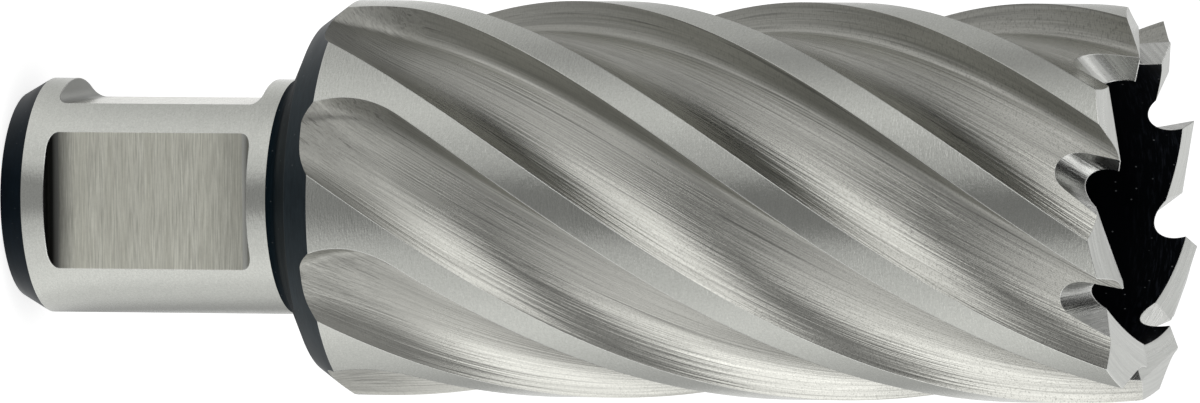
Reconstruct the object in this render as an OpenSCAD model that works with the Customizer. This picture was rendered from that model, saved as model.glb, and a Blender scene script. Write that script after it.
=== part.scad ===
// Annular cutter with a side-lock shank, ground from one bar of tool steel.
// It stands on the end of its shank: the origin is the middle of that end,
// and +Z runs along the axis to the teeth.

/* [Shank] */
// Diameter of the shank
shank_d = 19.05; // [18:0.05:20]
// Length of the shank, from its end to the shoulder
shank_len = 23.3; // [22.4:0.1:30]
// Length of the chamfer at the shank's end
chamfer_len = 2.1; // [1:0.1:3]
// How far the chamfer runs in from the shank's side
chamfer_drop = 1.2; // [0.4:0.1:1.6]
// Diameter of the hole for the pilot pin
pilot_d = 6.4; // [5:0.1:8]

/* [Shank flats] */
// Distance of each flat from the axis
flat_offset = 7.75; // [7:0.05:8.5]
// Height of the flats' lower end wall
flat_start = 4.0; // [3:0.1:5]
// Length of the flats along the shank
flat_len = 17.1; // [12:0.1:17.4]
// Radius in the corner between a flat and its end walls
flat_fillet = 0.8; // [0.3:0.1:1.2]
// Angle between the two flats
flat_spread = 90; // [80:1:100]

/* [Shoulder] */
// Radius of the hollow corner between the shank and the shoulder
shoulder_fillet = 0.9; // [0.4:0.1:2]
// Length of the cone next to the shank
inner_cone_len = 2.4; // [1:0.05:4]
// Diameter of the line between the two cones
cone_line_d = 28.5; // [25:0.1:29]
// Length of the cone next to the body
outer_cone_len = 2.4; // [1.5:0.05:4]

/* [Body] */
// Cutting diameter, over the lands
body_d = 32; // [31:0.1:34]
// Length of the fluted body, from the shoulder to the tips
body_len = 66.5; // [50:0.1:80]
// Diameter of the bore that clears the core
core_d = 23; // [20:0.1:23.4]
// Depth of the bore, measured from the tips
core_depth = 58; // [30:1:60]
// Chamfer in the corner at the bottom of the bore
core_chamfer = 1.5; // [0.5:0.1:3]

/* [Flutes] */
// Number of flutes and teeth
tooth_count = 8; // [6:1:8]
// Length along the axis in which a flute makes one turn
flute_lead = 153; // [120:1:220]
// Angle that one land takes up
land_angle = 10; // [8:0.5:14]
// Depth of a flute below the lands
flute_depth = 2.5; // [1.5:0.1:2.6]
// Where the flute is deepest, as a share of its width from the leading land
deepest_share = 0.21; // [0.15:0.01:0.5]
// Steepness of the flute's wall under the leading land
wall_power = 5.5; // [2:0.1:7]
// Steepness of the flute's rise to the trailing land
rise_power = 4; // [2:0.1:5]
// Length over which a flute runs out at the shoulder
runout_len = 7.2; // [5:0.1:10]
// Angle that the wall closes in by the shoulder's edge
runout_turn = 13; // [5:0.5:13]
// Steepness that the wall keeps at the shoulder's edge
runout_power = 1.6; // [1.2:0.1:3]
// Share of its depth that a flute loses by the shoulder's edge
runout_lift = 0.55; // [0.3:0.01:0.6]

/* [Teeth] */
// Angle of the first cutting tip, seen along the axis
tip_angle = 27; // [0:1:44]
// Angle from a land's leading edge on to the cutting tip
tip_lead = 5.2; // [3:0.1:8]
// Diameter of the circle that the tips lie on
tip_d = 26.6; // [25.6:0.1:28]
// Slope of the tooth's outer bevel
outer_bevel = 16; // [10:1:30]
// Slope of the tooth's inner bevel
inner_bevel = 17; // [10:1:30]
// Relief behind the cutting edge
relief = 14; // [6:1:18]
// Angle by which the ridge of a tooth swings out behind its tip
ridge_swing = 8; // [0:1:12]
// Angle that one tooth takes up on the tip circle
tooth_angle = 26.4; // [20:0.2:28]
// How far the cutting face leans back, seen along the axis
rake_lean = 14; // [0:1:20]
// How far the cutting face leans along the flute
rake_hook = 11; // [0:1:20]
// Radius of the gullet's round floor
gullet_r = 1.8; // [1.2:0.05:2]
// Depth of the gullet's floor below the tip, square to the floor
gullet_depth = 3.7; // [3:0.05:4.2]
// Slope of the gullet's floor, down from the bore to the flute
gullet_fall = 41; // [32:1:46]
// How far the back of the next tooth flares from the cutting face
gullet_flare = 37; // [10:1:42]

/* [Hidden] */
$fn = 96;
shank_r = shank_d / 2;
body_r = body_d / 2;
core_r = core_d / 2;
tip_r = tip_d / 2;
cone_line_z = shank_len + inner_cone_len;
body_z = cone_line_z + outer_cone_len;
tip_z = body_z + body_len;
core_z = tip_z - core_depth;
pitch = 360 / tooth_count;
flute_angle = pitch - land_angle;
// Room that a cut keeps beyond the surface it breaks through
over = 1;
// Stations of the flute: close together in the run-out, wider along the body
flute_z0 = cone_line_z;
flute_z1 = tip_z + 2 * over;
runout_step = 1.0;
body_step = 2.0;
// How far the run-out goes on past the shoulder's edge, as a share of its length
runout_end = 1.25;
// Points across the flute's wall and rise, and how far those of the wall crowd to the land's edge
wall_points = 6;
wall_spacing = 1.6;
rise_points = 6;

// A point on a circle about the axis
function polar(r, a) = [r * cos(a), r * sin(a)];

// Depth of the flute at share u of its width, as a share of its full depth, for a wall of this steepness
function flute_shape(u, power) =
    u < deepest_share
    ? 1 - pow(1 - u / deepest_share, power)
    : 1 - pow((u - deepest_share) / (1 - deepest_share), rise_power);

// Shares of the width at which the flute's floor has a point, edges left out
flute_shares = [
    for (i = [1 : wall_points]) deepest_share * pow(i / wall_points, wall_spacing),
    for (i = [1 : rise_points - 1]) deepest_share + (1 - deepest_share) * sqrt(i / rise_points)
];

// How far the run-out has gone at height z: 0 along the body, 1 at the shoulder's edge
function runout(z) = pow(min(runout_end, max(0, 1 - (z - body_z) / runout_len)), 2);

// Angle of a land's leading edge at height z
function lead_edge(z) = tip_angle - tip_lead + (z - tip_z) * 360 / flute_lead;

// Cross-section of one flute at height z: floor points, carried on past the body's side
function flute_section(z) =
    let (
        start = runout_turn * runout(z),
        width = flute_angle - start,
        depth = flute_depth * (1 - runout_lift * runout(z)),
        power = wall_power + (runout_power - wall_power) * min(1, runout(z)),
        drop = [for (u = flute_shares) depth * flute_shape(u, power)],
        last = len(flute_shares) - 1,
        wall_run = flute_shares[0] * width / drop[0],
        rise_run = (1 - flute_shares[last]) * width / drop[last],
        edge = lead_edge(z) + start
    )
    concat(
        [polar(body_r + 2 * over, edge + width / 2)],
        [polar(body_r + over, edge - wall_run * over)],
        [for (i = [0 : last]) polar(body_r - drop[i], edge + flute_shares[i] * width)],
        [polar(body_r + over, edge + width + rise_run * over)]
    );

// Heights of the flute's stations
runout_count = ceil((body_z + runout_len - flute_z0) / runout_step);
body_count = ceil((flute_z1 - body_z - runout_len) / body_step);
flute_heights = concat(
    [for (i = [0 : runout_count - 1]) flute_z0 + (body_z + runout_len - flute_z0) * i / runout_count],
    [for (i = [0 : body_count])
        body_z + runout_len + (flute_z1 - body_z - runout_len) * i / body_count]
);

// One flute, swept along the helix as a closed solid
module flute_cut() {
    rings = [for (z = flute_heights) [for (p = flute_section(z)) [p.x, p.y, z]]];
    n = len(rings[0]);
    top = len(rings) - 1;
    points = [for (ring = rings) each ring];
    bottom_face = [for (i = [n - 1 : -1 : 0]) i];
    top_face = [for (i = [0 : n - 1]) top * n + i];
    sides = [
        for (k = [0 : top - 1], i = [0 : n - 1])
            let (j = (i + 1) % n, a = k * n + i, b = k * n + j)
            each [[a, b, a + n], [b, b + n, a + n]]
    ];
    polyhedron(points, concat([bottom_face, top_face], sides));
}

// Hollow round between the shank and the shoulder's first cone, in section
module shoulder_round() {
    run = cone_line_d / 2 - shank_r;
    slope = atan2(run, inner_cone_len);
    touch = shoulder_fillet * tan(slope / 2);
    corner = [shank_r, shank_len];
    on_shank = corner - [0, touch];
    on_cone = corner + touch * [sin(slope), cos(slope)];
    middle = on_shank + [shoulder_fillet, 0];
    difference() {
        polygon([corner, on_shank, middle, on_cone]);
        translate(middle)
            circle(shoulder_fillet);
    }
}

// Turned blank with the pilot hole and the bore, before milling
module blank() {
    rotate_extrude() {
        shoulder_round();
        polygon([
            [pilot_d / 2, 0],
            [shank_r - chamfer_drop, 0],
            [shank_r, chamfer_len],
            [shank_r, shank_len],
            [cone_line_d / 2, cone_line_z],
            [body_r, body_z],
            [body_r, tip_z + over / 2],
            [core_r, tip_z + over / 2],
            [core_r, core_z + core_chamfer],
            [core_r - core_chamfer, core_z],
            [pilot_d / 2, core_z]
        ]);
    }
}

// One flat, milled across the shank on its -Y side, with round corners at its end walls
module flat_cut() {
    room = shank_r - flat_offset + over;
    inner = flat_len - 2 * flat_fillet;
    rotate([0, -90, 0])
        linear_extrude(shank_d, center = true)
            translate([flat_start, -flat_offset - room]) {
                square([flat_len, room - flat_fillet]);
                translate([flat_fillet, 0])
                    square([inner, room]);
                for (x = [flat_fillet, flat_len - flat_fillet])
                    translate([x, room - flat_fillet])
                        circle(flat_fillet);
            }
}

// Section of a gullet: x is the depth below the tip, y runs from the cutting face
module gullet_section() {
    mid = gullet_depth - gullet_r;
    rise = 6 * over;
    touch = [mid + gullet_r * sin(gullet_flare), gullet_r * (1 + cos(gullet_flare))];
    translate([mid, gullet_r])
        circle(gullet_r);
    polygon([
        [mid, 0],
        [-rise, 0],
        [-rise, touch.y + (touch.x + rise) * tan(gullet_flare)],
        touch,
        [mid, gullet_r]
    ]);
}

// One gullet, from the bore out through the flute
module gullet_cut() {
    back = 4;
    reach = 16;
    rotate([0, 0, tip_angle])
        translate([tip_r, 0, tip_z])
            rotate([0, 0, -rake_lean])
                rotate([-rake_hook, 0, 0])
                    rotate([0, 90 + gullet_fall, 0])
                        translate([0, 0, -back])
                            linear_extrude(reach)
                                gullet_section();
}

// What is ground off above one tooth: two bevels that meet in a ridge, falling back from the tip
module bevel_cut() {
    half = tooth_angle / 2;
    reach = 12;
    height = 5;
    ahead = half + 6;
    behind = half + 10.5;
    rotate([0, 0, tip_angle - half])
        intersection() {
            translate([0, 0, tip_z - height])
                linear_extrude(2 * height)
                    polygon([[0, 0], polar(3 * reach, -behind), polar(3 * reach, ahead)]);
            translate([tip_r * cos(half), tip_r * sin(half), tip_z])
                rotate([0, 0, ridge_swing])
                    rotate([relief, 0, 0])
                        for (slope = [outer_bevel, -inner_bevel])
                            rotate([0, slope, 0])
                                translate([-reach, -2 * reach, 0])
                                    cube([2 * reach, 3 * reach, height]);
        }
}

module annular_cutter() {
    color("silver")
        difference() {
            blank();
            for (turn = [0, -flat_spread])
                rotate([0, 0, turn])
                    flat_cut();
            for (k = [0 : tooth_count - 1])
                rotate([0, 0, k * pitch]) {
                    flute_cut();
                    gullet_cut();
                    bevel_cut();
                }
        }
}

annular_cutter();
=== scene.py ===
"""Looks of an annular cutter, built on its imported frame: one ground body and its stage."""

import math

import bmesh
import bpy
from mathutils import Matrix, Vector


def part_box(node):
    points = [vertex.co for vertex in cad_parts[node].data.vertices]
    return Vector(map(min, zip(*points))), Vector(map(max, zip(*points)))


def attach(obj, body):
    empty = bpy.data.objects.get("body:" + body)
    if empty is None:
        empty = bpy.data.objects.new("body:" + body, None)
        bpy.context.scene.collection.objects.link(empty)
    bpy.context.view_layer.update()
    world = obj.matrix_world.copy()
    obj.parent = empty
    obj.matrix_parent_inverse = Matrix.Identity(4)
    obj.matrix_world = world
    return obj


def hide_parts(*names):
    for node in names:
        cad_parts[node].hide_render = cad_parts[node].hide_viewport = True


bl_info = {
    "name": "Annular Cutter",
    "version": (1, 0, 0),
    "blender": (4, 5, 0),
    "location": "View3D > Sidebar > Cutter",
    "description": "Builds a ground annular cutter and the stage it stands on",
    "category": "Object",
}

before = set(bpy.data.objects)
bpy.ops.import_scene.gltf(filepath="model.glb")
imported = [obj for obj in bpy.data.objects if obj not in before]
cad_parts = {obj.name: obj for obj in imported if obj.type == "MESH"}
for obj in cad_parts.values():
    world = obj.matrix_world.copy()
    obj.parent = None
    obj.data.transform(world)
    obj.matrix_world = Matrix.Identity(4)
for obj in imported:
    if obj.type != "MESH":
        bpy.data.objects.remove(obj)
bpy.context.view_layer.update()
NODE = "annular_cutter"
MM = 0.001

# Zones of the surface, one finish each
SIDE, FLUTE, FLAT, CORNER, GULLET, BEVEL, SHOULDER, RIM, BORE, END = range(10)

# Steps that the shapes' curves are divided into
AROUND = 288
BODY_ROWS = 34
FILLET_STEPS = 10
GULLET_STEPS = 30
WALL_STEPS = 16
RISE_STEPS = 22
RUNOUT_STEPS = 20
HELIX_STEPS = 62

# Power that crowds a wall's steps towards the land, and share of its length at which a run-out stops closing
WALL_CROWD = 1.6
RUNOUT_END = 1.25

# Spare height of the blank, and how far the cutting shapes reach past what they cut
TOP_OVER = 0.5 * MM
FLUTE_OVER = 1.0 * MM
FLAT_OVER = 5.0 * MM
GULLET_RISE = 6.0 * MM
GULLET_INWARD = 4.0 * MM
GULLET_OUTWARD = 12.0 * MM
BEVEL_FAR = 36.0 * MM
BEVEL_RISE = 5.0 * MM
BEVEL_AHEAD = math.radians(6.0)
BEVEL_BEHIND = math.radians(10.5)

# Distances in metres within which points are merged, or lie on a line
MERGE = 1e-8
ON_LINE = 1e-7

# Number of flats, sharpest bend that is shaded smooth, and fewest faces of a sound form
FLATS = 2
SHARP_ABOVE = math.radians(21)
LEAST_FACES = 1000


def length(name, description, millimetres):
    """A size that a user may change, in metres"""
    return bpy.props.FloatProperty(name=name, description=description, default=millimetres * MM,
                                   unit="LENGTH", precision=5)


def angle(name, description, degrees):
    """An angle that a user may change"""
    return bpy.props.FloatProperty(name=name, description=description, default=math.radians(degrees),
                                   subtype="ANGLE")


def share(name, description, value, least, most):
    """A share that a user may change"""
    return bpy.props.FloatProperty(name=name, description=description, default=value, subtype="FACTOR",
                                   min=least, max=most)


def steepness(name, description, value):
    """A power that a user may change"""
    return bpy.props.FloatProperty(name=name, description=description, default=value)


def colour(name, description, value):
    """A colour that a user may change"""
    return bpy.props.FloatVectorProperty(name=name, description=description, default=value, size=3,
                                         subtype="COLOR", min=0.0, max=1.0)


class CutterSizes(bpy.types.PropertyGroup):
    """Sizes of the cutter"""
    overall: length("Overall length", "From the shank's end to the tips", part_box(NODE)[1].z / MM)
    shank_d: length("Shank diameter", "Diameter of the plain shank", 19.05)
    shank_len: length("Shank length", "From the shank's end to the shoulder", 23.3)
    chamfer_len: length("End chamfer length", "Length of the chamfer at the shank's end", 2.1)
    chamfer_drop: length("End chamfer drop", "How far that chamfer runs in", 1.2)
    pilot_d: length("Pilot hole", "Diameter of the hole for the pilot pin", 6.4)
    flat_offset: length("Flat offset", "Distance of a clamping flat from the axis", 7.75)
    flat_start: length("Flat start", "Height of a flat's lower end wall", 4.0)
    flat_len: length("Flat length", "Length of a flat along the shank", 17.1)
    flat_fillet: length("Flat fillet", "Radius between a flat and its end walls", 0.8)
    flat_spread: angle("Flat spread", "Angle between the two flats", 90.0)
    shoulder_fillet: length("Shoulder fillet", "Hollow corner between shank and shoulder", 0.9)
    inner_cone_len: length("Inner cone", "Length of the cone next to the shank", 2.4)
    cone_line_d: length("Cone line", "Diameter of the line between the cones", 28.5)
    outer_cone_len: length("Outer cone", "Length of the cone next to the body", 2.4)
    body_d: length("Cutting diameter", "Diameter over the lands", 32.0)
    core_d: length("Core bore", "Diameter of the bore that clears the core", 23.0)
    core_depth: length("Core depth", "Depth of the bore from the tips", 58.0)
    core_chamfer: length("Core chamfer", "Chamfer at the bottom of the bore", 1.5)
    teeth: bpy.props.IntProperty(name="Teeth", description="Number of flutes and teeth", default=8, min=6,
                                 max=8)
    flute_lead: length("Flute lead", "Length in which a flute makes one turn", 153.0)
    land_angle: angle("Land angle", "Angle that one land takes up", 10.0)
    flute_depth: length("Flute depth", "Depth of a flute below the lands", 2.5)
    deepest: share("Deepest share", "Where a flute is deepest, across its width", 0.21, 0.1, 0.6)
    wall_power: steepness("Wall power", "Steepness of the flute's wall", 5.5)
    rise_power: steepness("Rise power", "Steepness of the flute's rise", 4.0)
    runout_len: length("Run-out length", "Length over which a flute runs out", 7.2)
    runout_turn: angle("Run-out turn", "Angle that the wall closes in by the shoulder", 13.0)
    runout_power: steepness("Run-out power", "Steepness of the wall by the shoulder", 1.6)
    runout_lift: share("Run-out lift", "Share of its depth that a flute loses", 0.55, 0.0, 0.6)
    tip_angle: angle("Tip angle", "Angle of the first tip, seen along the axis", 27.0)
    tip_lead: angle("Tip lead", "Angle from a land's leading edge to the tip", 5.2)
    tip_d: length("Tip circle", "Diameter of the circle that the tips lie on", 26.6)
    outer_bevel: angle("Outer bevel", "Slope of a tooth's outer bevel", 16.0)
    inner_bevel: angle("Inner bevel", "Slope of a tooth's inner bevel", 17.0)
    relief: angle("Relief", "Fall behind the cutting edge", 14.0)
    ridge_swing: angle("Ridge swing", "Angle by which a tooth's ridge swings out", 8.0)
    tooth_angle: angle("Tooth angle", "Angle that one tooth takes up", 26.4)
    rake_lean: angle("Rake lean", "How far the cutting face leans back", 14.0)
    rake_hook: angle("Rake hook", "How far the cutting face leans along the flute", 11.0)
    gullet_r: length("Gullet radius", "Radius of a gullet's round floor", 1.8)
    gullet_depth: length("Gullet depth", "Depth of a gullet's floor below the tip", 3.7)
    gullet_fall: angle("Gullet fall", "Slope of a gullet's floor", 41.0)
    gullet_flare: angle("Gullet flare", "How far a gullet opens out", 37.0)


class CutterFinish(bpy.types.PropertyGroup):
    """Colours of the cutter's finishes"""
    side: colour("Ground side", "Shank and lands, ground round", (0.69, 0.70, 0.655))
    flute: colour("Flutes", "Flutes, ground along the helix", (0.655, 0.653, 0.605))
    flat: colour("Flats", "Clamping flats, milled across", (0.85, 0.845, 0.745))
    gullet: colour("Gullets", "Gullets, ground along their floor", (0.70, 0.705, 0.68))
    bevel: colour("Bevels", "Ground bevels of the teeth", (0.735, 0.745, 0.715))
    black: colour("Blackened end", "Chamfer and face of the shank end", (0.0046, 0.0100, 0.0168))
    hollow: colour("Blackened hollow", "Inner cone of the shoulder", (0.0048, 0.0115, 0.0168))
    rim: colour("Blackened rim", "Outer cone of the shoulder", (0.0185, 0.0272, 0.0340))
    bore: colour("Blackened bore", "Core bore and pilot hole", (0.0008, 0.0008, 0.0015))


class StageSettings(bpy.types.PropertyGroup):
    """Camera and light of the stage"""
    camera_azimuth: angle("Camera azimuth", "Direction of the camera about the axis", 266.7)
    camera_height: angle("Camera elevation", "Height of the camera above the level", 15.675)
    camera_roll: angle("Camera roll", "Turn of the camera about its view", 0.497)
    camera_far: length("Camera distance", "Distance of the camera from its target", 1452.9)
    target_z: length("Target height", "Height of the point that the camera looks at", 48.12)
    lens: bpy.props.FloatProperty(name="Lens", description="Focal length in millimetres", default=540.0,
                                  unit="CAMERA")
    floor: colour("Floor", "Colour of the floor", (0.70, 0.70, 0.70))


def polar(radius, turn):
    """A point on a circle about the axis"""
    return Vector((radius * math.cos(turn), radius * math.sin(turn)))


def solid(name, points, faces, zones):
    """A closed solid with a zone number on each face"""
    mesh = bpy.data.meshes.new(name)
    mesh.from_pydata([tuple(p) for p in points], [], faces)
    mesh.attributes.new("zone", "INT", "FACE").data.foreach_set("value", zones)
    form = bmesh.new()
    form.from_mesh(mesh)
    bmesh.ops.remove_doubles(form, verts=form.verts, dist=MERGE)
    bmesh.ops.recalc_face_normals(form, faces=form.faces)
    form.to_mesh(mesh)
    form.free()
    body = bpy.data.objects.new(name, mesh)
    bpy.context.scene.collection.objects.link(body)
    return body


def prism(name, outline, place, low, high, zones):
    """An outline in x and y carried from low to high along z, then put in place"""
    count = len(outline)
    points = [place @ Vector((p[0], p[1], h)) for h in (low, high) for p in outline]
    faces = [tuple(range(count)), tuple(range(count, 2 * count))]
    faces += [(i, (i + 1) % count, count + (i + 1) % count, count + i) for i in range(count)]
    return solid(name, points, faces, [zones[0], zones[0]] + list(zones))


def arc(middle, radius, start, end, steps):
    """Points on an arc, both ends included"""
    turns = [start + (end - start) * i / steps for i in range(steps + 1)]
    return [middle + polar(radius, t) for t in turns]


def shoulder_heights(s):
    """Heights of the line between the cones and of the body's lower end"""
    cone_line = s.shank_len + s.inner_cone_len
    return cone_line, cone_line + s.outer_cone_len


def blank(s):
    """Turned blank with its bore and pilot hole"""
    cone_line, body_z = shoulder_heights(s)
    core_z, top = s.overall - s.core_depth, s.overall + TOP_OVER
    shank_r, body_r, core_r, pilot_r = s.shank_d / 2, s.body_d / 2, s.core_d / 2, s.pilot_d / 2
    slope = math.atan2(s.cone_line_d / 2 - shank_r, s.inner_cone_len)
    touch = s.shoulder_fillet * math.tan(slope / 2)
    middle = Vector((shank_r + s.shoulder_fillet, s.shank_len - touch))
    section = [(pilot_r, 0.0, END), (shank_r - s.chamfer_drop, 0.0, END), (shank_r, s.chamfer_len, SIDE)]
    hollow = arc(middle, s.shoulder_fillet, math.pi, math.pi - slope, FILLET_STEPS)
    section += [(p.x, p.y, SHOULDER) for p in hollow]
    section += [(s.cone_line_d / 2, cone_line, RIM)]
    section += [(body_r, body_z + (top - body_z) * i / BODY_ROWS, SIDE) for i in range(BODY_ROWS + 1)]
    section += [(core_r, top, BORE), (core_r, core_z + s.core_chamfer, BORE),
                (core_r - s.core_chamfer, core_z, BORE), (pilot_r, core_z, BORE)]
    count = len(section)
    points = [(*polar(r, 2 * math.pi * k / AROUND), z) for k in range(AROUND) for r, z, zone in section]
    faces, zones = [], []
    for k in range(AROUND):
        for i in range(count):
            j, near, far = (i + 1) % count, k * count, ((k + 1) % AROUND) * count
            faces.append((near + i, far + i, far + j, near + j))
            zones.append(section[i][2])
    return solid("turned_blank", points, faces, zones)


def flute(s):
    """One flute, swept along the helix"""
    cone_line, body_z = shoulder_heights(s)
    body_r, over = s.body_d / 2, FLUTE_OVER
    shares = [s.deepest * (i / WALL_STEPS) ** WALL_CROWD for i in range(1, WALL_STEPS + 1)]
    shares += [s.deepest + (1 - s.deepest) * math.sqrt(i / RISE_STEPS) for i in range(1, RISE_STEPS)]
    wide = 2 * math.pi / s.teeth - s.land_angle

    def share_of_depth(u, power):
        if u < s.deepest:
            return 1 - (1 - u / s.deepest) ** power
        return 1 - ((u - s.deepest) / (1 - s.deepest)) ** s.rise_power

    def section(z):
        gone = min(RUNOUT_END, max(0.0, 1 - (z - body_z) / s.runout_len)) ** 2
        start = s.runout_turn * gone
        width = wide - start
        depth = s.flute_depth * (1 - s.runout_lift * gone)
        power = s.wall_power + (s.runout_power - s.wall_power) * min(1.0, gone)
        drop = [depth * share_of_depth(u, power) for u in shares]
        edge = s.tip_angle - s.tip_lead + (z - s.overall) * 2 * math.pi / s.flute_lead + start
        wall_run = shares[0] * width / drop[0]
        rise_run = (1 - shares[-1]) * width / drop[-1]
        ring = [polar(body_r + 2 * over, edge + width / 2), polar(body_r + over, edge - wall_run * over)]
        ring += [polar(body_r - d, edge + u * width) for u, d in zip(shares, drop)]
        return ring + [polar(body_r + over, edge + width + rise_run * over)]

    last = s.overall + 2 * over
    near = body_z + s.runout_len
    levels = [cone_line + (near - cone_line) * i / RUNOUT_STEPS for i in range(RUNOUT_STEPS)]
    levels += [near + (last - near) * i / HELIX_STEPS for i in range(HELIX_STEPS + 1)]
    rings = [[(p.x, p.y, z) for p in section(z)] for z in levels]
    count = len(rings[0])
    points = [p for ring in rings for p in ring]
    faces = [tuple(range(count)), tuple(range(len(points) - count, len(points)))]
    for k in range(len(rings) - 1):
        for i in range(count):
            j = (i + 1) % count
            faces.append((k * count + i, k * count + j, (k + 1) * count + j, (k + 1) * count + i))
    return solid("flute_cut", points, faces, [FLUTE] * len(faces))


def flat(s):
    """One clamping flat on the -Y side of the shank, with round corners at its end walls"""
    low, high, edge = s.flat_start, s.flat_start + s.flat_len, -s.flat_offset
    out, round_r = edge - FLAT_OVER, s.flat_fillet
    outline = [Vector((low, out))]
    outline += arc(Vector((low + round_r, edge - round_r)), round_r, math.pi, math.pi / 2, FILLET_STEPS)
    outline += arc(Vector((high - round_r, edge - round_r)), round_r, math.pi / 2, 0.0, FILLET_STEPS)
    outline += [Vector((high, out))]
    half = s.shank_d / 2
    upright = Matrix(((0, 0, 1, 0), (0, 1, 0, 0), (1, 0, 0, 0), (0, 0, 0, 1)))
    zones = [FLAT if abs(a.y - edge) + abs(b.y - edge) < ON_LINE else CORNER
             for a, b in zip(outline, outline[1:] + outline[:1])]
    return prism("flat_cut", outline, upright, -half, half, zones)


def gullet(s):
    """One gullet, from the bore out through the flute"""
    radius, flare = s.gullet_r, s.gullet_flare
    middle = Vector((s.gullet_depth - radius, radius))
    outline = [Vector((-GULLET_RISE, 0.0))]
    outline += arc(middle, radius, -math.pi / 2, math.pi / 2 - flare, GULLET_STEPS)
    last = outline[-1]
    outline += [Vector((-GULLET_RISE, last.y + (last.x + GULLET_RISE) * math.tan(flare)))]
    place = Matrix.Rotation(s.tip_angle, 4, "Z") @ Matrix.Translation((s.tip_d / 2, 0, s.overall))
    place = place @ Matrix.Rotation(-s.rake_lean, 4, "Z") @ Matrix.Rotation(-s.rake_hook, 4, "X")
    place = place @ Matrix.Rotation(math.pi / 2 + s.gullet_fall, 4, "Y")
    return prism("gullet_cut", outline, place, -GULLET_INWARD, GULLET_OUTWARD, [GULLET] * len(outline))


def clip(outline, point, across):
    """The part of a convex outline on the side of a line that across points to"""
    kept = []
    for a, b in zip(outline, outline[1:] + outline[:1]):
        da, db = (a - point).dot(across), (b - point).dot(across)
        if da >= 0:
            kept.append(a)
        if da * db < 0:
            kept.append(a + (b - a) * (da / (da - db)))
    return kept


def bevel(s):
    """What is ground off above one tooth: two bevels that meet in a ridge"""
    half = s.tooth_angle / 2
    tip = Vector((*polar(s.tip_d / 2, half), s.overall))
    tilt = Matrix.Rotation(s.ridge_swing, 3, "Z") @ Matrix.Rotation(s.relief, 3, "X")
    ridge = (tilt @ Vector((0, 1, 0))).xy
    outward = Vector((ridge.y, -ridge.x))
    sector = [Vector((0.0, 0.0)), polar(BEVEL_FAR, -half - BEVEL_BEHIND),
              polar(BEVEL_FAR, half + BEVEL_AHEAD)]
    turn = Matrix.Rotation(s.tip_angle - half, 4, "Z")
    points, faces = [], []
    for side, slope in ((outward, s.outer_bevel), (-outward, -s.inner_bevel)):
        normal = tilt @ Matrix.Rotation(slope, 3, "Y") @ Vector((0, 0, 1))
        part = clip(sector, tip.xy, side)
        base, count = len(points), len(part)
        for p in part:
            drop = normal.xy.dot(p - tip.xy) / normal.z
            points.append(turn @ Vector((p.x, p.y, s.overall - drop)))
        points += [turn @ Vector((p.x, p.y, s.overall + BEVEL_RISE)) for p in part]
        faces += [tuple(range(base, base + count)), tuple(range(base + count, base + 2 * count))]
        for i in range(count):
            j = (i + 1) % count
            on_ridge = all(abs((part[q] - tip.xy).dot(outward)) < ON_LINE for q in (i, j))
            if not on_ridge:
                faces.append((base + i, base + j, base + count + j, base + count + i))
    return solid("bevel_cut", points, faces, [BEVEL] * len(faces))


def feed(tree, made, inputs):
    """Gives a node's inputs, by name or number, a link or a plain value"""
    for key, value in inputs:
        if isinstance(value, bpy.types.NodeSocket):
            tree.links.new(value, made.inputs[key])
        else:
            made.inputs[key].default_value = value
    return made


def fill(tree, made, **values):
    """Gives a node its settings, and its inputs by name, written with _ for a space"""
    for key, value in values.items():
        if hasattr(made, key):
            setattr(made, key, value)
        else:
            feed(tree, made, [(key.replace("_", " "), value)])
    return made


def node(tree, kind, **values):
    """A new node with its settings and inputs"""
    return fill(tree, tree.nodes.new(kind), **values)


def maths(tree, operation, *values, clamp=False):
    """One sum of values, each a socket or a number"""
    made = node(tree, "ShaderNodeMath", operation=operation, use_clamp=clamp)
    return feed(tree, made, enumerate(values)).outputs[0]


def ranged(tree, source, low, high, to_low, to_high):
    """A value carried from one range to another"""
    made = node(tree, "ShaderNodeMapRange", clamp=True)
    return feed(tree, made, enumerate((source, low, high, to_low, to_high))).outputs[0]


def mixed(tree, factor, first, second):
    """A mix of two values, each a socket or a number"""
    made = node(tree, "ShaderNodeMix", data_type="FLOAT")
    return feed(tree, made, ((0, factor), (2, first), (3, second))).outputs[0]


def tinted(tree, factor, first, second):
    """A mix of two colours, each a socket or a colour"""
    made = node(tree, "ShaderNodeMix", data_type="RGBA")
    return feed(tree, made, ((0, factor), (6, first), (7, second))).outputs[2]


def shaded(base, factor):
    """A colour made darker or lighter"""
    return (*(min(1.0, c * factor) for c in base), 1.0)


def new_tree(name, kind, inputs, outputs):
    """A node group with named sockets, its input node and its output node"""
    tree = bpy.data.node_groups.new(name, kind)
    for label, socket, value in inputs:
        item = tree.interface.new_socket(name=label, in_out="INPUT", socket_type=socket)
        if value is not None:
            item.default_value = value
    for label, socket in outputs:
        tree.interface.new_socket(name=label, in_out="OUTPUT", socket_type=socket)
    return tree, tree.nodes.new("NodeGroupInput"), tree.nodes.new("NodeGroupOutput")


def values_tree(name, inputs, outputs):
    """A shader group whose sockets are values, or vectors where named so"""
    kinds = {"Vector": "NodeSocketVector", "Normal": "NodeSocketVector"}
    return new_tree(name, "ShaderNodeTree",
                    [(label, kinds.get(label, "NodeSocketFloat"), value) for label, value in inputs.items()],
                    [(label, kinds.get(label, "NodeSocketFloat")) for label in outputs])


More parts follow.
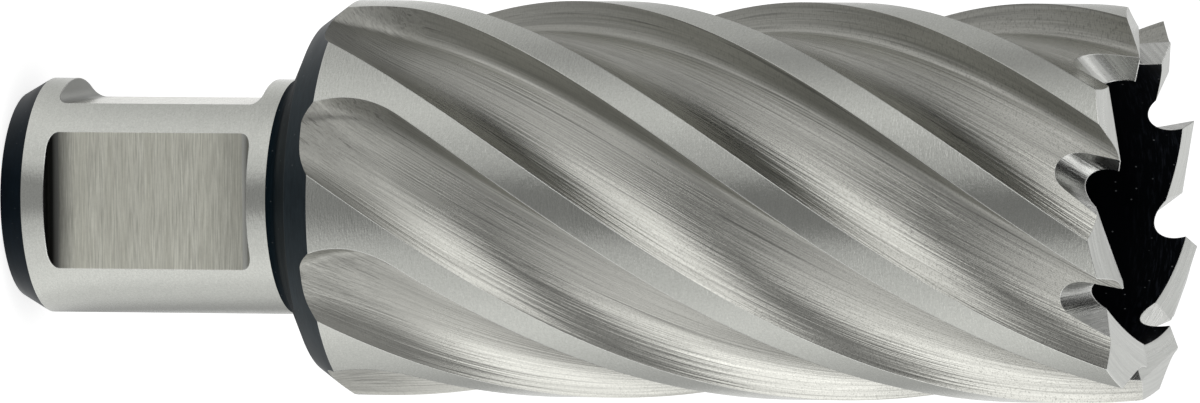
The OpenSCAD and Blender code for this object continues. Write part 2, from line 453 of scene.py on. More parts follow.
def around_axis():
    """Geometry nodes that repeat a shape about the axis, a step apart"""
    tree, given, result = new_tree("around_axis", "GeometryNodeTree",
                                   [("Shape", "NodeSocketGeometry", None), ("Count", "NodeSocketInt", 8),
                                    ("Step", "NodeSocketFloat", math.pi / 4)],
                                   [("Shapes", "NodeSocketGeometry")])
    line = node(tree, "GeometryNodeMeshLine", mode="OFFSET", Count=given.outputs["Count"], Offset=(0, 0, 0))
    index = node(tree, "GeometryNodeInputIndex")
    turn = maths(tree, "MULTIPLY", index.outputs[0], given.outputs["Step"])
    spin = node(tree, "FunctionNodeAxisAngleToRotation", Axis=(0, 0, 1), Angle=turn)
    put = node(tree, "GeometryNodeInstanceOnPoints", Points=line.outputs["Mesh"],
               Instance=given.outputs["Shape"], Rotation=spin.outputs["Rotation"])
    real = node(tree, "GeometryNodeRealizeInstances", Geometry=put.outputs["Instances"])
    fill(tree, result, Shapes=real.outputs["Geometry"])
    return tree


def cutting_tree(zone_finishes):
    """Geometry nodes that cut flats, flutes, gullets and bevels out of the blank and finish each zone"""
    cuts = ("Flat", "Flute", "Gullet", "Bevel")
    tree, given, result = new_tree("cutter_form", "GeometryNodeTree",
                                   [("Blank", "NodeSocketGeometry", None),
                                    *((label, "NodeSocketObject", None) for label in cuts),
                                    ("Teeth", "NodeSocketInt", 8), ("Pitch", "NodeSocketFloat", math.pi / 4),
                                    ("Flat Spread", "NodeSocketFloat", math.pi / 2),
                                    ("Sharp Above", "NodeSocketFloat", SHARP_ABOVE)],
                                   [("Cutter", "NodeSocketGeometry")])
    repeat = around_axis()
    body = given.outputs["Blank"]
    for label in cuts:
        count, step = given.outputs["Teeth"], given.outputs["Pitch"]
        if label == "Flat":
            count, step = FLATS, maths(tree, "MULTIPLY", given.outputs["Flat Spread"], -1.0)
        shape = node(tree, "GeometryNodeObjectInfo", Object=given.outputs[label])
        many = node(tree, "GeometryNodeGroup", node_tree=repeat, Shape=shape.outputs["Geometry"], Count=count,
                    Step=step)
        cut = node(tree, "GeometryNodeMeshBoolean", operation="DIFFERENCE", solver="MANIFOLD", Mesh_1=body,
                   Mesh_2=many.outputs["Shapes"])
        body = cut.outputs["Mesh"]
    smooth = node(tree, "GeometryNodeSetShadeSmooth", domain="FACE", Geometry=body)
    bend = node(tree, "GeometryNodeInputMeshEdgeAngle")
    steep = node(tree, "FunctionNodeCompare", data_type="FLOAT", operation="GREATER_THAN",
                 A=bend.outputs["Unsigned Angle"], B=given.outputs["Sharp Above"])
    sharp = node(tree, "GeometryNodeSetShadeSmooth", domain="EDGE", Geometry=smooth.outputs["Geometry"],
                 Selection=steep.outputs[0], Shade_Smooth=False)
    real = node(tree, "GeometryNodeRealizeInstances", Geometry=sharp.outputs["Geometry"])
    body = real.outputs["Geometry"]
    zone = node(tree, "GeometryNodeInputNamedAttribute", data_type="INT", Name="zone")
    for number, finish in zone_finishes.items():
        same = node(tree, "FunctionNodeCompare", data_type="INT", operation="EQUAL")
        feed(tree, same, ((2, zone.outputs[0]), (3, number)))
        paint = node(tree, "GeometryNodeSetMaterial", Geometry=body, Selection=same.outputs[0],
                     Material=finish)
        body = paint.outputs["Geometry"]
    fill(tree, result, Cutter=body)
    return tree


# Radius in millimetres at which marks keep their true width, and the radius's own share along the helix
MARKS_R = 16.0
HELIX_SHARE = 0.35

# Turn that puts the seam of the arc inside a tooth, and how marks cross a gullet
GULLET_TURN = math.radians(76)
GULLET_ACROSS = {"Height": 0.74, "Radius": 0.68}
GULLET_DEEP = {"Arc": 0.77, "Radius": 0.40}

# Ranges of noise that show as marks: most of it, bands, its strongest, and those of blackened steel
SOFT = (0.3, 0.7)
BANDED = (0.32, 0.68)
STRONG = (0.54, 0.66)
BLACK_LINES = (0.35, 0.7)
SCUFFED = (0.52, 0.66)
BROKEN = (0.35, 0.6)

# Angles within a flute that its wall fades over, and slants that a flat turns glossy over
WALL_TURN = (math.radians(3), math.radians(8))
GLANCING = (0.78, 0.92)

# Contrast of light lines and of bands against dark lines, share of bands in the colour, of grit in the relief
LIGHT_LINES = 0.6
BAND_SHARE = 0.5
GRIT_RELIEF = 0.25

# Shares of the base colour in grit, in scores, pits and painted run-out shade, in painted end shade, in
# blackened lines
GRIT_SHADE = 0.72
SCORE_AND_RUNOUT_SHADE = 0.3
END_SHADE_SHARE = 0.03
BLACK_SHADES = (0.8, 1.25)

# Shares that are left: of the painted end shade on the second flat, of the grain by the shoulder, of a worn
# edge
SECOND_END_SHADE = 0.6
LEAST_GRAIN = 0.3
LEAST_WORN = 0.3

# Roughness that bands take off and add, and that grit and the run-outs add
GROUND_SWING = (-0.04, 0.05)
BLACK_SWING = (-0.05, 0.08)
GRIT_ROUGH = 0.06
RUNOUT_ROUGH = 0.30

# Depth of marks in metres, relief of the blackened skin, and how its edges wear
GROUND_DEPTH = 0.00004
BLACK_DEPTH = 0.00002
BLACK_RELIEF = 0.12
BLACK_REACH = 0.00012
BLACK_GAIN = 25.0

# Dust: cells to a millimetre, which of them hold a speck, and its size within the cell
DUST_CELLS = 0.6
DUST_CHOSEN = (0.55, 0.75)
DUST_SIZE = (0.02, 0.06)

# Colours of painted edge highlights and bare edges, dust and scuffs, and the tint of blackened steel's gloss
EDGE_HIGHLIGHT = (0.90, 0.90, 0.88, 1.0)
BARE_EDGE = (0.45, 0.45, 0.44, 1.0)
DUST = (0.45, 0.47, 0.48, 1.0)
SCUFF = (0.045, 0.050, 0.065, 1.0)
BLACK_TINT = (0.72, 0.93, 1.0, 1.0)


def round_axes():
    """Shader group: place about the axis in millimetres, turned back along the helix"""
    tree, given, result = values_tree("round_axes", {"Vector": None, "Turn per mm": 0.0, "Start": 0.0},
                                      ("Arc", "Height", "Radius", "X", "Y"))
    wide = node(tree, "ShaderNodeVectorMath", operation="SCALE", Vector=given.outputs["Vector"],
                Scale=1.0 / MM)
    high = node(tree, "ShaderNodeSeparateXYZ", Vector=wide.outputs[0])
    twist = maths(tree, "MULTIPLY", high.outputs["Z"], given.outputs["Turn per mm"])
    back = node(tree, "ShaderNodeVectorRotate", rotation_type="Z_AXIS", Vector=wide.outputs[0],
                Angle=maths(tree, "SUBTRACT", given.outputs["Start"], twist))
    parts = node(tree, "ShaderNodeSeparateXYZ", Vector=back.outputs[0])
    x, y, z = (parts.outputs[label] for label in "XYZ")
    level = node(tree, "ShaderNodeCombineXYZ", X=x, Y=y)
    far = node(tree, "ShaderNodeVectorMath", operation="LENGTH", Vector=level.outputs[0])
    around = maths(tree, "MULTIPLY", maths(tree, "ARCTAN2", y, x), MARKS_R)
    fill(tree, result, Arc=around, Height=z, Radius=far.outputs["Value"], X=x, Y=y)
    return tree


def grind_marks():
    """Shader group: fine lines and broader bands that run along one direction, with a little grit"""
    tree, given, result = values_tree("grind_marks",
                                      {"Across": 0.0, "Along": 0.0, "Depth": 0.0, "Fine": 7.0, "Broad": 0.8,
                                       "Stretch": 0.05, "Grit": 9.0, "Depth Stretch": 1.0},
                                      ("Lines", "Bands", "Grit"))
    across, along, deep = (given.outputs[label] for label in ("Across", "Along", "Depth"))
    spot = node(tree, "ShaderNodeCombineXYZ", X=across, Y=along, Z=deep)
    drawn = node(tree, "ShaderNodeCombineXYZ", X=across,
                 Y=maths(tree, "MULTIPLY", along, given.outputs["Stretch"]),
                 Z=maths(tree, "MULTIPLY", deep, given.outputs["Depth Stretch"]))
    for label, scale, place, detail, rough in (("Lines", "Fine", drawn, 3.0, 0.6),
                                               ("Bands", "Broad", drawn, 2.0, 0.6),
                                               ("Grit", "Grit", spot, 2.0, 0.7)):
        noise = node(tree, "ShaderNodeTexNoise", Vector=place.outputs[0], Scale=given.outputs[scale],
                     Detail=detail, Roughness=rough)
        tree.links.new(noise.outputs["Fac"], result.inputs[label])
    return tree


def worn_and_highlit_edges():
    """Shader group: mask of sharp edges, for bare worn edges on blackened steel and painted highlights on
    ground steel
    """
    tree, given, result = values_tree("worn_and_highlit_edges", {"Reach": 0.00013, "Gain": 12.0}, ("Edge", "Normal"))
    soft = node(tree, "ShaderNodeBevel", samples=6, Radius=given.outputs["Reach"])
    true = node(tree, "ShaderNodeNewGeometry")
    same = node(tree, "ShaderNodeVectorMath", operation="DOT_PRODUCT")
    feed(tree, same, ((0, soft.outputs["Normal"]), (1, true.outputs["Normal"])))
    gone = maths(tree, "SUBTRACT", 1.0, same.outputs["Value"])
    fill(tree, result, Edge=maths(tree, "MULTIPLY", gone, given.outputs["Gain"], clamp=True),
         Normal=soft.outputs["Normal"])
    return tree


class Shades:
    """What the finishes share: shader groups, the flutes' measures and the heights where a finish changes"""

    def __init__(self, s):
        body_z, flat_end = shoulder_heights(s)[1] / MM, (s.flat_start + s.flat_len) / MM
        flat_start, front, top = s.flat_start / MM, -s.flat_offset / MM, s.overall / MM
        self.turn_per_mm = 2 * math.pi * MM / s.flute_lead
        self.pitch = 2 * math.pi / s.teeth
        self.flute_start = s.tip_angle - s.tip_lead - 2 * math.pi * s.overall / s.flute_lead
        # Heights over which the painted shade in a flute's run-out fades out
        self.runout_shade_span = (body_z + 0.9, body_z + 11.9)
        self.runout_gloss = (body_z + 1.9, body_z + 12.9)
        self.coarse_grain = (body_z + 19.9, body_z + 59.9)
        # Heights and sides over which the painted shade at a flat's end walls fades
        self.end_shade_low = (flat_start + 0.3, flat_start + 2.2)
        self.end_shade_top = (flat_end - 3.9, flat_end - 1.7)
        self.front_flat = (front + 0.35, front + 1.75)
        self.bore_mouth = (top - 6.1, top - 1.6)
        self.axes = round_axes()
        self.marks = grind_marks()
        self.edges = worn_and_highlit_edges()


def new_finish(name):
    """An empty material, its tree and its shader"""
    made = bpy.data.materials.new(name)
    made.use_nodes = True
    return made, made.node_tree, made.node_tree.nodes["Principled BSDF"]


def marks_along(tree, shades, lay, **scales):
    """Grind marks laid round the shank, along the helix, along a gullet or along a tooth"""
    where = node(tree, "ShaderNodeTexCoord")
    axes = node(tree, "ShaderNodeGroup", node_tree=shades.axes, Vector=where.outputs["Object"])
    high, far, x, y = (axes.outputs[label] for label in ("Height", "Radius", "X", "Y"))

    def joined(amounts):
        first, second = (maths(tree, "MULTIPLY", axes.outputs[label], amount)
                         for label, amount in amounts.items())
        return maths(tree, "ADD", first, second)

    if lay == "helix":
        fill(tree, axes, Turn_per_mm=shades.turn_per_mm)
        out = maths(tree, "ADD", maths(tree, "MULTIPLY", far, HELIX_SHARE), (1 - HELIX_SHARE) * MARKS_R)
        squeeze = maths(tree, "DIVIDE", out, far)
        across, along, deep = maths(tree, "MULTIPLY", x, squeeze), high, maths(tree, "MULTIPLY", y, squeeze)
    elif lay == "gullet":
        fill(tree, axes, Start=GULLET_TURN)
        across, along, deep = joined(GULLET_ACROSS), far, joined(GULLET_DEEP)
    else:
        across, along, deep = high if lay == "round" else far, x, y
        scales["Depth_Stretch"] = scales["Stretch"]
    marks = node(tree, "ShaderNodeGroup", node_tree=shades.marks, Across=across, Along=along, Depth=deep,
                 **scales)
    return marks, axes


def painted_end_shade(tree, shades, axes, low, top):
    """Mask of the painted shade by a flat's lower and upper end walls, fainter on the second flat"""
    ends = maths(tree, "ADD", ranged(tree, axes.outputs["Height"], *shades.end_shade_low, low, 0.0),
                 ranged(tree, axes.outputs["Height"], *shades.end_shade_top, 0.0, top))
    front = ranged(tree, axes.outputs["Y"], *shades.front_flat, 1.0, SECOND_END_SHADE)
    return maths(tree, "MULTIPLY", ends, front)


def flute_wall(tree, shades, axes, amount):
    """Mask of a flute's steep wall"""
    past = maths(tree, "SUBTRACT", maths(tree, "DIVIDE", axes.outputs["Arc"], MARKS_R), shades.flute_start)
    inside = maths(tree, "FLOORED_MODULO", past, shades.pitch)
    return ranged(tree, inside, *WALL_TURN, amount, 0.0)


def ground_steel(name, shades, base, lay, rough, strength, grit, relief, dark=0.0, grain=0.0, end_shade=None,
                 runout_shade=0.0, wall=0.0, shine=0.7, glance=1.0, **scales):
    """Ground tool steel: grind marks in one lay, uneven gloss, painted edge highlights, and painted shade
    where asked
    """
    made, tree, shader = new_finish(name)
    marks, axes = marks_along(tree, shades, lay, **scales)
    high = axes.outputs["Height"]
    lines = ranged(tree, marks.outputs["Lines"], *SOFT, 0.0, 1.0)
    bands = ranged(tree, marks.outputs["Bands"], *BANDED, 0.0, 1.0)
    spots = ranged(tree, marks.outputs["Grit"], *SOFT, 0.0, 1.0)
    tone = tinted(tree, lines, shaded(base, 1 - strength), shaded(base, 1 + LIGHT_LINES * strength))
    gloss = ranged(tree, marks.outputs["Bands"], *SOFT, *(rough + swing for swing in GROUND_SWING))
    gloss = maths(tree, "ADD", gloss, maths(tree, "MULTIPLY", spots, GRIT_ROUGH))
    bump = node(tree, "ShaderNodeBump", Strength=relief, Distance=GROUND_DEPTH,
                Height=maths(tree, "ADD", lines, maths(tree, "MULTIPLY", spots, GRIT_RELIEF)))
    layers = [(maths(tree, "MULTIPLY", bands, BAND_SHARE), shaded(base, 1 - LIGHT_LINES * strength)),
              (maths(tree, "MULTIPLY", spots, grit), shaded(base, GRIT_SHADE))]
    if dark:
        scored = ranged(tree, marks.outputs["Lines"], *STRONG, 0.0, dark)
        layers.append((maths(tree, "MULTIPLY", scored, bands), shaded(base, SCORE_AND_RUNOUT_SHADE)))
    if grain:
        coarse = ranged(tree, high, *shades.coarse_grain, LEAST_GRAIN * grain, grain)
        pits = ranged(tree, marks.outputs["Grit"], *STRONG, 0.0, 1.0)
        layers.append((maths(tree, "MULTIPLY", pits, coarse), shaded(base, SCORE_AND_RUNOUT_SHADE)))
    # Painted shade: the flute's run-out by the shoulder is darkened, fading out upwards; it is also rougher
    if runout_shade:
        layers.append((ranged(tree, high, *shades.runout_shade_span, runout_shade, 0.0), shaded(base, SCORE_AND_RUNOUT_SHADE)))
        gloss = maths(tree, "ADD", gloss, ranged(tree, high, *shades.runout_gloss, RUNOUT_ROUGH, 0.0))
    # Painted shade: darker by a flat's end walls
    if end_shade:
        layers.append((painted_end_shade(tree, shades, axes, *end_shade), shaded(base, END_SHADE_SHARE)))
    if wall:
        gloss = maths(tree, "ADD", gloss, flute_wall(tree, shades, axes, wall))
    if glance < 1.0:
        slant = node(tree, "ShaderNodeLayerWeight")
        gloss = maths(tree, "MULTIPLY", gloss, ranged(tree, slant.outputs["Facing"], *GLANCING, 1.0, glance))
    # Painted highlight: sharp edges are lightened in the base colour, and their rounded normal feeds the bump
    if shine:
        edges = node(tree, "ShaderNodeGroup", node_tree=shades.edges)
        layers.append((maths(tree, "MULTIPLY", edges.outputs["Edge"], shine), EDGE_HIGHLIGHT))
        fill(tree, bump, Normal=edges.outputs["Normal"])
    for mask, shade in layers:
        tone = tinted(tree, mask, tone, shade)
    fill(tree, shader, Base_Color=tone, Metallic=1.0, Roughness=gloss, Normal=bump.outputs["Normal"])
    return made


def dust_flecks(tree, axes, amount):
    """Mask of a few specks of dust"""
    place = node(tree, "ShaderNodeCombineXYZ", X=axes.outputs["Arc"], Y=axes.outputs["Height"])
    cells = node(tree, "ShaderNodeTexVoronoi", voronoi_dimensions="2D", Vector=place.outputs[0],
                 Scale=DUST_CELLS)
    chosen = ranged(tree, cells.outputs["Color"], *DUST_CHOSEN, 0.0, amount)
    return maths(tree, "MULTIPLY", ranged(tree, cells.outputs["Distance"], *DUST_SIZE, 1.0, 0.0), chosen)


def blackened(name, shades, base, rough, shine, dust, edge, scuffs=0.0):
    """Blackened steel: a thin dark skin with dust, faint scratches and worn edges"""
    made, tree, shader = new_finish(name)
    marks, axes = marks_along(tree, shades, "round", Fine=5.0, Broad=0.5, Stretch=0.15, Grit=5.0)
    lines = ranged(tree, marks.outputs["Lines"], *BLACK_LINES, 0.0, 1.0)
    tone = tinted(tree, lines, *(shaded(base, shade) for shade in BLACK_SHADES))
    if scuffs:
        scored = ranged(tree, marks.outputs["Lines"], *SCUFFED, 0.0, scuffs)
        mouth = ranged(tree, axes.outputs["Height"], *shades.bore_mouth, 0.0, 1.0)
        tone = tinted(tree, maths(tree, "MULTIPLY", scored, mouth), tone, SCUFF)
    tone = tinted(tree, dust_flecks(tree, axes, dust), tone, DUST)
    edges = node(tree, "ShaderNodeGroup", node_tree=shades.edges, Reach=BLACK_REACH, Gain=BLACK_GAIN)
    broken = ranged(tree, marks.outputs["Bands"], *BROKEN, LEAST_WORN, 1.0)
    worn = maths(tree, "MULTIPLY", maths(tree, "MULTIPLY", edges.outputs["Edge"], broken), edge)
    gloss = ranged(tree, marks.outputs["Bands"], *SOFT, *(rough + swing for swing in BLACK_SWING))
    bump = node(tree, "ShaderNodeBump", Strength=BLACK_RELIEF, Distance=BLACK_DEPTH,
                Height=marks.outputs["Grit"])
    fill(tree, shader, Base_Color=tinted(tree, worn, tone, BARE_EDGE), Metallic=worn, Roughness=gloss,
         Specular_IOR_Level=shine, Specular_Tint=BLACK_TINT, Normal=bump.outputs["Normal"])
    return made


def finishes(s, c):
    """The finish of each zone"""
    shades = Shades(s)
    return {
        # All ground finishes but the flutes' take painted highlights on their sharp edges
        SIDE: ground_steel("ground_round", shades, c.side, "round", rough=0.13, strength=0.06, grit=0.50,
                           relief=0.22, Fine=7.0, Stretch=0.20, Grit=6.0),
        # The flutes take painted shade in their run-outs
        FLUTE: ground_steel("ground_flute", shades, c.flute, "helix", rough=0.15, strength=0.44, grit=0.32,
                            relief=0.52, dark=0.90, grain=0.46, runout_shade=0.4, wall=0.26, shine=0.0, Fine=5.5,
                            Broad=0.6, Stretch=0.010, Grit=7.0),
        # The flat and its round corners take painted shade by their end walls, the lower corner almost black
        FLAT: ground_steel("milled_flat", shades, c.flat, "round", rough=0.55, strength=0.34, grit=0.15,
                           relief=0.2, end_shade=(0.95, 0.20), glance=0.3, Fine=8.0, Broad=0.8, Stretch=0.045,
                           Grit=2.5),
        CORNER: ground_steel("milled_corner", shades, c.side, "round", rough=0.30, strength=0.20, grit=0.25,
                             relief=0.2, end_shade=(0.97, 0.0), Fine=5.0, Stretch=0.03),
        GULLET: ground_steel("ground_gullet", shades, c.gullet, "gullet", rough=0.24, strength=0.28,
                             grit=0.15, relief=0.4, dark=0.25, Fine=5.0, Broad=1.2, Stretch=0.03),
        BEVEL: ground_steel("ground_bevel", shades, c.bevel, "tooth", rough=0.28, strength=0.14, grit=0.15,
                            relief=0.25, Fine=5.0, Stretch=0.04, Grit=5.0),
        SHOULDER: blackened("black_hollow", shades, c.hollow, rough=0.50, shine=0.035, dust=0.20, edge=0.20),
        RIM: blackened("black_rim", shades, c.rim, rough=0.36, shine=0.31, dust=0.12, edge=0.25),
        BORE: blackened("black_bore", shades, c.bore, rough=0.5, shine=0.08, dust=0.45, edge=0.10,
                        scuffs=0.35),
        END: blackened("black_end", shades, c.black, rough=0.38, shine=0.14, dust=0.08, edge=0.12),
    }


class OBJECT_OT_annular_cutter(bpy.types.Operator):
    """Builds the cutter: a turned blank with flats, flutes, gullets and bevels cut by geometry nodes"""
    bl_idname = "object.annular_cutter"
    bl_label = "Annular Cutter"

    def execute(self, context):
        s, c = context.scene.cutter_sizes, context.scene.cutter_finish
        body = blank(s)
        tools = {"Flat": flat(s), "Flute": flute(s), "Gullet": gullet(s), "Bevel": bevel(s)}
        tree = cutting_tree(finishes(s, c))
        cutting = body.modifiers.new("cutter_form", "NODES")
        cutting.node_group = tree
        given = {**tools, "Teeth": s.teeth, "Pitch": 2 * math.pi / s.teeth, "Flat Spread": s.flat_spread}
        for item in tree.interface.items_tree:
            if item.in_out == "INPUT" and item.name in given:
                cutting[item.identifier] = given[item.name]
        context.view_layer.update()
        shape = bpy.data.meshes.new_from_object(body.evaluated_get(context.evaluated_depsgraph_get()))
        if len(shape.polygons) < LEAST_FACES:
            raise RuntimeError("the cutter's form came out empty")
        for tool in (body, *tools.values()):
            bpy.data.objects.remove(tool)
        piece = bpy.data.objects.new("ground_cutter", shape)
        context.scene.collection.objects.link(piece)
        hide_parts(NODE)
        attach(piece, "root")
        return {"FINISHED"}


# Light round the stage: angle from the camera, upwards in its picture, and level
FAR_FLOOR = ((-180, 0.74), (-158, 0.86), (-132, 0.48), (-76, 0.84), (-40, 0.62), (-25, 0.50), (-18, 0.24),
             (8, 0.22), (14, 0.46), (26, 0.51), (48, 0.69), (90, 0.39), (110, 0.51), (148, 0.54), (180, 0.74))
NEAR_FLOOR = ((-180, 1.35), (-164, 0.68), (-140, 0.40), (-100, 0.76), (-74, 0.96), (-40, 0.82), (-24, 0.66),
              (-8, 0.34), (11, 0.33), (18, 0.56), (26, 0.74), (50, 0.84), (100, 0.61), (140, 0.76),
              (164, 0.90), (180, 1.35))
LOW_SKY = ((-180, 0.83), (-140, 1.24), (-80, 1.48), (-45, 1.48), (-30, 1.15), (-14, 0.38), (0, 0.14),
           (14, 0.86), (30, 1.46), (52, 1.42), (76, 0.72), (90, 0.15), (104, 0.0), (140, 0.0), (155, 1.08),
           (180, 0.83))
LIGHT_PEAK = 3.0

# Floor in metres: half its width, its gap below the shank, and where the far floor and the sky take over
FLOOR_HALF = 20.0
FLOOR_GAP = 0.02 * MM
FAR_BLEND = (0.08, 0.18)
SKY_BLEND = (0.75, 1.8)

# Floor's light to the camera beside the lamps', and its light in the metal, from steep to flat rays
FLOOR_LIFT = 0.72
STEEP_RAYS = (0.0, 0.34)
STEEP_LIGHT = 0.32

# Sky by height and by side of the camera: where each change starts and ends, and its level
OVERHEAD = (0.62, 0.78)
OVERHEAD_SIDE = (-0.22, -0.02)
OVERHEAD_DARK = 0.97
FADE = (0.26, 0.48)
FADE_LEVEL = 0.58
FADE_SIDE = (-0.45, -0.25)
LEAST = (0.25, 0.52)
LEAST_LEVEL = 0.42
PLAIN_LEVEL = 0.6

# Soft lamps: places, what they look at, width and power
SOFTBOXES = {"upper_softbox": (-0.75, -0.35, 0.75), "lower_softbox": (0.8, -0.3, 0.6)}
SOFTBOX_AIM = (0, 0, 0.05)
SOFTBOX_WIDTH = 0.9
SOFTBOX_POWER = 1.6

# Picture in pixels: width, middle row and the row of the point that the camera looks at
PICTURE_WIDTH = 1200
MIDDLE_ROW = 201.5
TARGET_ROW = 199.3

# Camera's sensor in millimetres, and its nearest and farthest sight in metres
SENSOR = 36.0
SIGHT = (0.01, 100.0)


def studio_ring(name, azimuth, lights):
    """Shader group: level of the studio's light by direction about the axis"""
    tree, given, result = values_tree(name, {"Vector": None}, ("Level",))
    parts = node(tree, "ShaderNodeSeparateXYZ", Vector=given.outputs["Vector"])
    turn = maths(tree, "ARCTAN2", parts.outputs["Y"], parts.outputs["X"])
    away = maths(tree, "WRAP", maths(tree, "SUBTRACT", azimuth, turn), math.pi, -math.pi)
    part_turn = maths(tree, "ADD", maths(tree, "DIVIDE", away, 2 * math.pi), 0.5)
    ramp = node(tree, "ShaderNodeValToRGB", Fac=part_turn)
    ramp.color_ramp.interpolation = "EASE"
    stops = ramp.color_ramp.elements
    ready = len(stops)
    for place, (degrees, level) in enumerate(lights):
        at = degrees / 360 + 0.5
        stop = stops[place] if place < ready else stops.new(at)
        stop.position = at
        stop.color = (level / LIGHT_PEAK,) * 3 + (1.0,)
    fill(tree, result, Level=maths(tree, "MULTIPLY", ramp.outputs["Color"], LIGHT_PEAK))
    return tree


def bare_tree(owner):
    """The emptied node tree of a material or a world"""
    owner.use_nodes = True
    owner.node_tree.nodes.clear()
    return owner.node_tree


def stage_floor(g, rings):
    """Pale floor: white to the camera with its shadow, and the studio's light to the metal"""
    mesh = bpy.data.meshes.new("floor")
    corners = [(-FLOOR_HALF, -FLOOR_HALF), (FLOOR_HALF, -FLOOR_HALF), (FLOOR_HALF, FLOOR_HALF),
               (-FLOOR_HALF, FLOOR_HALF)]
    mesh.from_pydata([(x, y, -FLOOR_GAP) for x, y in corners], [], [(0, 1, 2, 3)])
    ground = bpy.data.objects.new("floor", mesh)
    bpy.context.scene.collection.objects.link(ground)
    made = bpy.data.materials.new("pale_floor")
    tree = bare_tree(made)
    rays = node(tree, "ShaderNodeLightPath")
    matt = node(tree, "ShaderNodeBsdfDiffuse", Color=(*g.floor, 1.0))
    lift = node(tree, "ShaderNodeEmission",
                Strength=maths(tree, "MULTIPLY", rays.outputs["Is Camera Ray"], FLOOR_LIFT))
    both = node(tree, "ShaderNodeAddShader")
    feed(tree, both, ((0, matt.outputs[0]), (1, lift.outputs[0])))
    where = node(tree, "ShaderNodeTexCoord").outputs["Object"]
    away = node(tree, "ShaderNodeVectorMath", operation="LENGTH", Vector=where).outputs["Value"]
    near, far, sky = (node(tree, "ShaderNodeGroup", node_tree=ring, Vector=where).outputs["Level"]
                      for ring in rings)
    light = mixed(tree, ranged(tree, away, *FAR_BLEND, 0.0, 1.0), near, far)
    light = mixed(tree, ranged(tree, away, *SKY_BLEND, 0.0, 1.0), light, sky)
    # Painted studio light: the floor glows to glossy rays, with less light for steep rays
    slant = node(tree, "ShaderNodeLayerWeight")
    slant_glow = ranged(tree, slant.outputs["Facing"], *STEEP_RAYS, STEEP_LIGHT, 1.0)
    mirror = node(tree, "ShaderNodeEmission", Strength=maths(tree, "MULTIPLY", light, slant_glow))
    seen = maths(tree, "MAXIMUM", rays.outputs["Is Glossy Ray"], rays.outputs["Is Transmission Ray"])
    pick = node(tree, "ShaderNodeMixShader")
    feed(tree, pick, ((0, seen), (1, both.outputs[0]), (2, mirror.outputs[0])))
    node(tree, "ShaderNodeOutputMaterial", Surface=pick.outputs[0])
    mesh.materials.append(made)


def stage_world(azimuth, ring):
    """World: white to the camera, a plain level on the object and the studio's light in the metal"""
    world = bpy.data.worlds.new("studio")
    tree = bare_tree(world)
    rays = node(tree, "ShaderNodeLightPath")
    where = node(tree, "ShaderNodeTexCoord").outputs["Generated"]
    light = node(tree, "ShaderNodeGroup", node_tree=ring, Vector=where).outputs["Level"]
    high = node(tree, "ShaderNodeSeparateXYZ", Vector=where).outputs["Z"]
    facing = node(tree, "ShaderNodeVectorMath", operation="DOT_PRODUCT")
    feed(tree, facing, ((0, where), (1, (*polar(1.0, azimuth), 0.0))))
    front = facing.outputs["Value"]
    dark = maths(tree, "MULTIPLY", ranged(tree, high, *OVERHEAD, 0.0, 1.0),
                 ranged(tree, front, *OVERHEAD_SIDE, 0.0, OVERHEAD_DARK))
    sides = maths(tree, "MAXIMUM", ranged(tree, high, *FADE, 1.0, FADE_LEVEL),
                  ranged(tree, front, *FADE_SIDE, 1.0, 0.0))
    lit = maths(tree, "MAXIMUM", maths(tree, "MULTIPLY", light, sides),
                ranged(tree, high, *LEAST, 0.0, LEAST_LEVEL))
    open_sky = maths(tree, "MULTIPLY", lit, maths(tree, "SUBTRACT", 1.0, dark))
    level = mixed(tree, rays.outputs["Is Glossy Ray"], PLAIN_LEVEL, open_sky)
    shown = mixed(tree, rays.outputs["Is Camera Ray"], level, 1.0)
    back = node(tree, "ShaderNodeBackground", Strength=shown)
    node(tree, "ShaderNodeOutputWorld", Surface=back.outputs[0])
    bpy.context.scene.world = world


def softbox(name, place):
    """A large soft lamp that looks at the cutter"""
    lamp = bpy.data.lights.new(name, "AREA")
    lamp.shape = "RECTANGLE"
    lamp.size, lamp.size_y, lamp.energy = SOFTBOX_WIDTH, SOFTBOX_WIDTH, SOFTBOX_POWER
    holder = bpy.data.objects.new(name, lamp)
    holder.location = place
    holder.rotation_euler = (Vector(SOFTBOX_AIM) - Vector(place)).to_track_quat("-Z", "Y").to_euler()
    bpy.context.scene.collection.objects.link(holder)


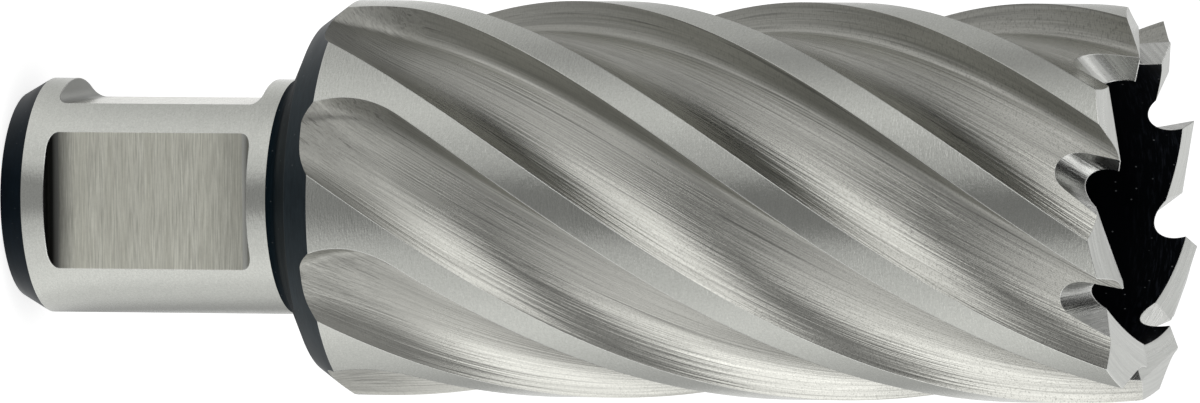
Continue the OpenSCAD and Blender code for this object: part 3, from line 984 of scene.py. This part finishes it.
def photo_camera(g):
    """Camera at the photo's angle: the axis lies level in the picture, teeth to the right"""
    view = bpy.data.cameras.new("camera")
    view.sensor_fit, view.sensor_width, view.lens = "HORIZONTAL", SENSOR, g.lens
    view.shift_y = (TARGET_ROW - MIDDLE_ROW) / PICTURE_WIDTH
    view.clip_start, view.clip_end = SIGHT
    holder = bpy.data.objects.new("camera", view)
    bpy.context.scene.collection.objects.link(holder)
    turn, rise = g.camera_azimuth, g.camera_height
    back = Vector((math.cos(turn) * math.cos(rise), math.sin(turn) * math.cos(rise), math.sin(rise)))
    right = (Vector((0, 0, 1)) - back * back.z).normalized()
    level = Matrix((right, back.cross(right), back)).transposed()
    level = level @ Matrix.Rotation(g.camera_roll, 3, "Z")
    place = Vector((0, 0, g.target_z)) + back * g.camera_far
    holder.matrix_world = Matrix.Translation(place) @ level.to_4x4()
    bpy.context.scene.camera = holder


class SCENE_OT_cutter_stage(bpy.types.Operator):
    """Builds the stage: floor, studio light and the camera at the photo's angle"""
    bl_idname = "scene.cutter_stage"
    bl_label = "Cutter Stage"

    def execute(self, context):
        g = context.scene.cutter_stage
        rings = [studio_ring(name, g.camera_azimuth, lights) for name, lights in
                 (("near_floor", NEAR_FLOOR), ("far_floor", FAR_FLOOR), ("low_sky", LOW_SKY))]
        stage_floor(g, rings)
        stage_world(g.camera_azimuth, rings[-1])
        for name, place in SOFTBOXES.items():
            softbox(name, place)
        photo_camera(g)
        context.scene.view_settings.view_transform = "Standard"
        return {"FINISHED"}


class VIEW3D_PT_cutter(bpy.types.Panel):
    """Lists the operators, and the sizes, finishes and stage settings that they use"""
    bl_label = "Annular Cutter"
    bl_space_type = "VIEW_3D"
    bl_region_type = "UI"
    bl_category = "Cutter"

    def draw(self, context):
        layout = self.layout
        layout.operator(OBJECT_OT_annular_cutter.bl_idname)
        layout.operator(SCENE_OT_cutter_stage.bl_idname)
        for group in (context.scene.cutter_sizes, context.scene.cutter_finish, context.scene.cutter_stage):
            column = layout.column()
            for name in group.__annotations__:
                column.prop(group, name)


CLASSES = (CutterSizes, CutterFinish, StageSettings, OBJECT_OT_annular_cutter, SCENE_OT_cutter_stage,
           VIEW3D_PT_cutter)


def register():
    for item in CLASSES:
        bpy.utils.register_class(item)
    bpy.types.Scene.cutter_sizes = bpy.props.PointerProperty(type=CutterSizes)
    bpy.types.Scene.cutter_finish = bpy.props.PointerProperty(type=CutterFinish)
    bpy.types.Scene.cutter_stage = bpy.props.PointerProperty(type=StageSettings)


def unregister():
    del bpy.types.Scene.cutter_stage
    del bpy.types.Scene.cutter_finish
    del bpy.types.Scene.cutter_sizes
    for item in reversed(CLASSES):
        bpy.utils.unregister_class(item)


def main():
    register()
    bpy.ops.scene.cutter_stage()
    bpy.ops.object.annular_cutter()


if __name__ == "__main__":
    main()
